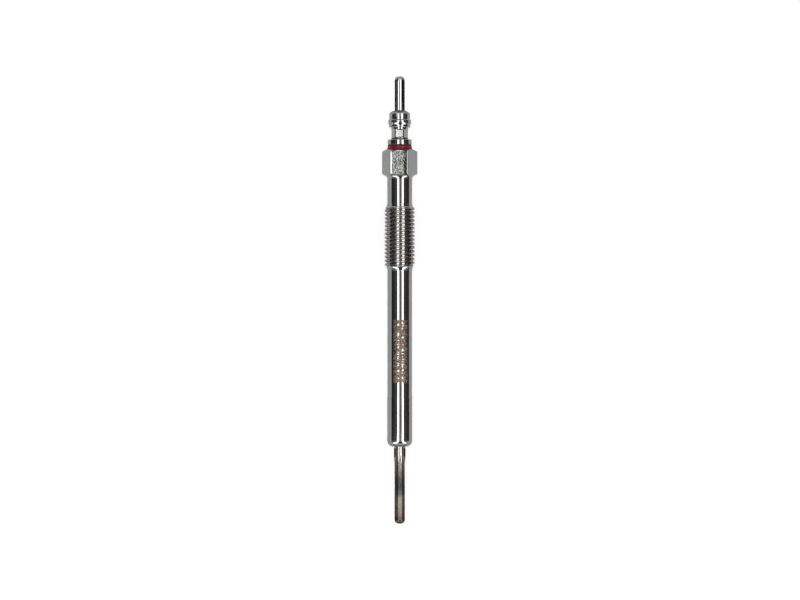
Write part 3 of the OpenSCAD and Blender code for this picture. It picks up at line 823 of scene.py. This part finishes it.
class GLOWPLUG_OT_stage(bpy.types.Operator):
    """Lays a pale floor, hangs two strip lamps with dark cards beside them and sets up the camera"""
    bl_idname = "glow_plug.stage"
    bl_label = "Stage"

    def execute(self, context):
        scene = context.scene
        size = scene.glow_plug.stage
        target = Vector(((PHOTO_WIDTH_PX / 2 - PHOTO_AXIS_X_PX) / PHOTO_PX_PER_MM * MM, 0.0, AXIS_Z))
        rig = Matrix.Translation(target) @ Matrix.Rotation(size.camera_turn, 4, "Y")
        self.size = size
        self.rig = rig

        # Camera, looking down on the plug with the terminal up
        camera = bpy.data.cameras.new("camera")
        camera.sensor_width = 36.0
        view_width = PHOTO_WIDTH_PX / PHOTO_PX_PER_MM * MM
        camera.lens = camera.sensor_width * size.camera_distance / view_width
        camera.clip_start = 0.01
        viewpoint = Matrix.Translation((0.0, 0.0, size.camera_distance))
        scene.camera = add_object("camera", camera, rig @ viewpoint)

        # Strip lamps, by the part of the plug that sees them and the degrees between which they show: they
        # are wider over the slim ends. Only polished metal sees the cards beside them and the camera's hood.
        far = size.lamp_length / 2
        near = -size.card_reach
        hood_distance, wedge_distance = 490 * MM, 480 * MM
        dark, warm, soft = linear("#58585A"), linear("#5C5651"), linear("#A5A3A0")
        dim, pale, black = linear("#8E8B88"), linear("#CFCDCA"), linear("#363636")
        slim = ((-21.5, -4.7), (19.5, 37.0))
        tube = ((-29.0, -6.0), (10.0, 40.0))
        throat = ((-34.0, -10.0), (5.0, 40.0))
        pin = ((-39.5, -15.0), (6.5, 37.0))
        tip, tint = TUBE_LOW.y - 2 * MM, TUBE_LOW.y + 7.6 * MM
        neck, nose = SHELL_LOW.y - 3.2 * MM, SHELL_LOW.y - 0.4 * MM
        split, end = TERMINAL_HIGH.y - 9.3 * MM, TERMINAL_HIGH.y + 2 * MM
        # Folds of the side cards, from the lamps outwards: an edge in degrees and metres, and a colour
        left_end, right_end = (-82.0, 0.42), (80.0, 0.45)
        left_graded = [((-44.0, 0.475), linear("#747476")), ((-58.0, 0.455), linear("#565658")),
                       (left_end, linear("#404042"))]
        right_graded = [((60.0, 0.48), linear("#6C6661")), (right_end, linear("#57524D"))]
        # Rows of name, span, lamp angles, share of the brightness, folds of both side cards and hood colour
        zones = (("below", (-far, tip), slim, 1.0, [(left_end, soft)], [(right_end, soft)], soft),
                 ("tip", (tip, tint), tube, 0.55, [(left_end, dim)], [(right_end, dim)], soft),
                 ("tube", (tint, neck), tube, 0.55, [(left_end, pale)], [(right_end, pale)], soft),
                 ("throat", (neck, nose), throat, 0.95, [(left_end, dark)], [(right_end, warm)], soft),
                 ("body", (nose, split), slim, 1.0, left_graded, right_graded, soft),
                 ("pin", (split, end), pin, 0.95, [(left_end, black)], [(right_end, black)], black),
                 ("above", (end, far), slim, 1.0, left_graded, right_graded, soft))
        for name, span, (left, right), share, left_folds, right_folds, hood in zones:
            side_spans = [(max(span[0], low), span[1]) for low in (near + size.card_slant, near)]
            self.strip(f"{name}_left", left, span, share)
            self.strip(f"{name}_right", right, span, share)
            self.card(f"{name}_left", (left[0], size.lamp_distance), left_folds, *side_spans)
            self.card(f"{name}_right", (right[1], size.lamp_distance), right_folds, *side_spans)
            self.card(f"{name}_hood", (left[1], hood_distance), [((right[0], hood_distance), hood)], span)

        # Past the slanted ends of the cards, bright wings make the lamps flare out on flared metal, and the
        # hood widens to a dark wedge between them
        glow = (size.lamp_radiance,) * 3 + (1.0,)
        wing_spans = [(-size.wing_reach, high) for high in (near + size.card_slant, near)]
        self.card("left_wing", (slim[0][0], size.lamp_distance), [(left_end, glow)], *wing_spans)
        self.card("right_wing", (slim[1][1], size.lamp_distance), [(right_end, glow)], *wing_spans)
        wedge_left, wedge_right = -21.0, 36.0
        wedge = ((slim[0][1], tip), (slim[1][0], tip),
                 (wedge_right, -size.wing_reach), (wedge_left, -size.wing_reach))
        self.panel("hood_wedge", [((angle, wedge_distance), place) for angle, place in wedge], dark)

        # Low cards beside the shell, and troughs beside the slim ends, whose white fins hide a dark trough
        # from the rounded metal next to it
        past_terminal, bush_foot = 100 * MM, 38 * MM
        shell_low = [((94.2, 0.034), linear("#4C4743"))]
        self.card("shell_low", right_end, shell_low, (SHELL_LOW.y, past_terminal))
        terminal_low = [((-94.0, 0.134), linear("#404042"))]
        self.card("terminal_low", left_end, terminal_low, (bush_foot, split))
        left_trough = [(-82.0, 0.0121), (-109.7, 0.01275), (-150.0, 0.0042)]
        right_trough = [(80.0, 0.0122), (105.4, 0.01245), (150.0, 0.0042)]
        fin_foot = 4 * MM
        # Rows of name, span, colours of both troughs and number of fins
        troughs = (("tip", (tip, tint), dim, dim, 0),
                   ("tube", (tint, neck), pale, pale, 0),
                   ("throat", (neck, nose), dark, warm, 4),
                   ("pin", (split + 0.4 * MM, end), black, black, 7))
        for name, span, left_side, right_side, fins in troughs:
            sides = (("left", left_trough, left_side), ("right", right_trough, right_side))
            for side, trough, colour in sides:
                self.card(f"{name}_low_{side}", trough[0], [(edge, colour) for edge in trough[1:]], span)
                fin = trough + [(trough[0][0], fin_foot)]
                for k, place in enumerate(np.linspace(*span, fins)):
                    self.panel(f"fin_{name}_{side}_{k}", [(edge, place) for edge in fin], linear("#FFFFFF"))

        # Light from above for matt surfaces, which keeps a soft shadow under the plug
        top = bpy.data.lights.new("top_light", "SUN")
        top.energy = size.top_strength
        top.angle = size.top_spread
        add_object("top_light", top, rig, ("camera", "glossy"))

        # Pale floor of paper
        extent = 3.0
        corners = [(x * extent, y * extent, 0.0) for x, y in ((-1, -1), (1, -1), (1, 1), (-1, 1))]
        mesh = bpy.data.meshes.new("floor")
        mesh.from_pydata(corners, [], [(0, 1, 2, 3)])
        floor = add_object("floor", mesh, hidden_from=("diffuse",))
        paper, tree = new_material("paper_pale_matt")
        shader = add_node(tree, "BsdfDiffuse", {"Color": shade(size.floor_colour)})
        add_node(tree, "OutputMaterial", {"Surface": shader})
        mesh.materials.append(paper)

        # Room: white to the eye and in the metal, and a weak fill for everything else
        world = bpy.data.worlds.new("room")
        world.use_nodes = True
        tree = world.node_tree
        tree.nodes.clear()
        path = add_node(tree, "LightPath")
        seen = path.outputs["Is Camera Ray"]
        for rays in ("Is Glossy Ray", "Is Transmission Ray"):
            seen = add_node(tree, "Math", {0: seen, 1: path.outputs[rays]}, operation="MAXIMUM")
        strength = add_node(tree, "MapRange", {"Value": seen, "To Min": size.fill_strength, "To Max": 1.0})
        back = add_node(tree, "Background", {"Color": linear("#FFFFFF"), "Strength": strength})
        add_node(tree, "OutputWorld", {"Surface": back})
        scene.world = world
        scene.view_settings.view_transform = "Standard"
        return {"FINISHED"}

    def strip(self, name, angles, span, share):
        """Adds a lamp that shows between two angles in a span of the plug, with a share of the brightness."""
        size = self.size
        span = [place * (1 + size.lamp_distance / size.camera_distance) for place in span]
        low, high = (math.radians(angle) for angle in angles)
        lamp = bpy.data.lights.new(f"strip_{name}", "AREA")
        lamp.shape = "RECTANGLE"
        lamp.size = 2 * size.lamp_distance * math.tan((high - low) / 2)
        lamp.size_y = span[1] - span[0]
        lamp.energy = share * size.lamp_radiance * math.pi * lamp.size * lamp.size_y
        place = Matrix.Translation((0.0, (span[0] + span[1]) / 2, size.lamp_distance))
        turn = Matrix.Rotation((low + high) / 2, 4, "Y")
        add_object(f"strip_{name}", lamp, self.rig @ turn @ place, ("camera", "diffuse"))

    def card(self, name, start, folds, span, end_span=None):
        """Adds a card, seen by a span of the plug, in folds that each run on to an edge in their own colour.

        With a span of its own past the start, the first fold has slanted ends."""
        for k, (edge, colour) in enumerate(folds):
            next_span = end_span or span
            corners = [(start, span[0]), (start, span[1]), (edge, next_span[1]), (edge, next_span[0])]
            self.panel(f"card_{name}_{k}", corners, colour)
            start, span = edge, next_span

    def panel(self, name, corners, colour):
        """Adds a glowing panel that only polished metal sees.

        A corner is an angle and distance from the axis, and the place on the plug that shows it."""
        points = []
        for (angle, distance), place in corners:
            turn = math.radians(angle)
            spread = 1 + distance / self.size.camera_distance
            points.append((distance * math.sin(turn), place * spread, distance * math.cos(turn)))
        mesh = bpy.data.meshes.new(name)
        mesh.from_pydata([self.rig @ Vector(point) for point in points], [], [tuple(range(len(points)))])
        material, tree = new_material(name)
        glow = add_node(tree, "Emission", {"Color": colour, "Strength": 1.0})
        add_node(tree, "OutputMaterial", {"Surface": glow})
        mesh.materials.append(material)
        add_object(name, mesh, hidden_from=("camera", "diffuse", "transmission", "shadow"))


class GLOWPLUG_PT_panel(bpy.types.Panel):
    """Lists the steps that build the glow plug"""
    bl_idname = "GLOWPLUG_PT_panel"
    bl_label = "Glow Plug"
    bl_space_type = "VIEW_3D"
    bl_region_type = "UI"
    bl_category = "Glow Plug"

    def draw(self, context):
        for operator in OPERATORS:
            self.layout.operator(operator.bl_idname)


SETTINGS = (ShellSettings, TerminalSettings, BushSettings, TubeSettings, StageSettings, GlowPlugSettings)
OPERATORS = (GLOWPLUG_OT_shell, GLOWPLUG_OT_heater_tube, GLOWPLUG_OT_bush, GLOWPLUG_OT_terminal,
             GLOWPLUG_OT_inner_parts, GLOWPLUG_OT_stage)
CLASSES = SETTINGS + OPERATORS + (GLOWPLUG_PT_panel,)


def register():
    for item in CLASSES:
        bpy.utils.register_class(item)
    bpy.types.Scene.glow_plug = bpy.props.PointerProperty(type=GlowPlugSettings)


def unregister():
    del bpy.types.Scene.glow_plug
    for item in reversed(CLASSES):
        bpy.utils.unregister_class(item)


def main():
    register()
    bpy.ops.glow_plug.shell()
    bpy.ops.glow_plug.heater_tube()
    bpy.ops.glow_plug.bush()
    bpy.ops.glow_plug.terminal()
    bpy.ops.glow_plug.inner_parts()
    bpy.ops.glow_plug.stage()


if __name__ == "__main__":
    main()
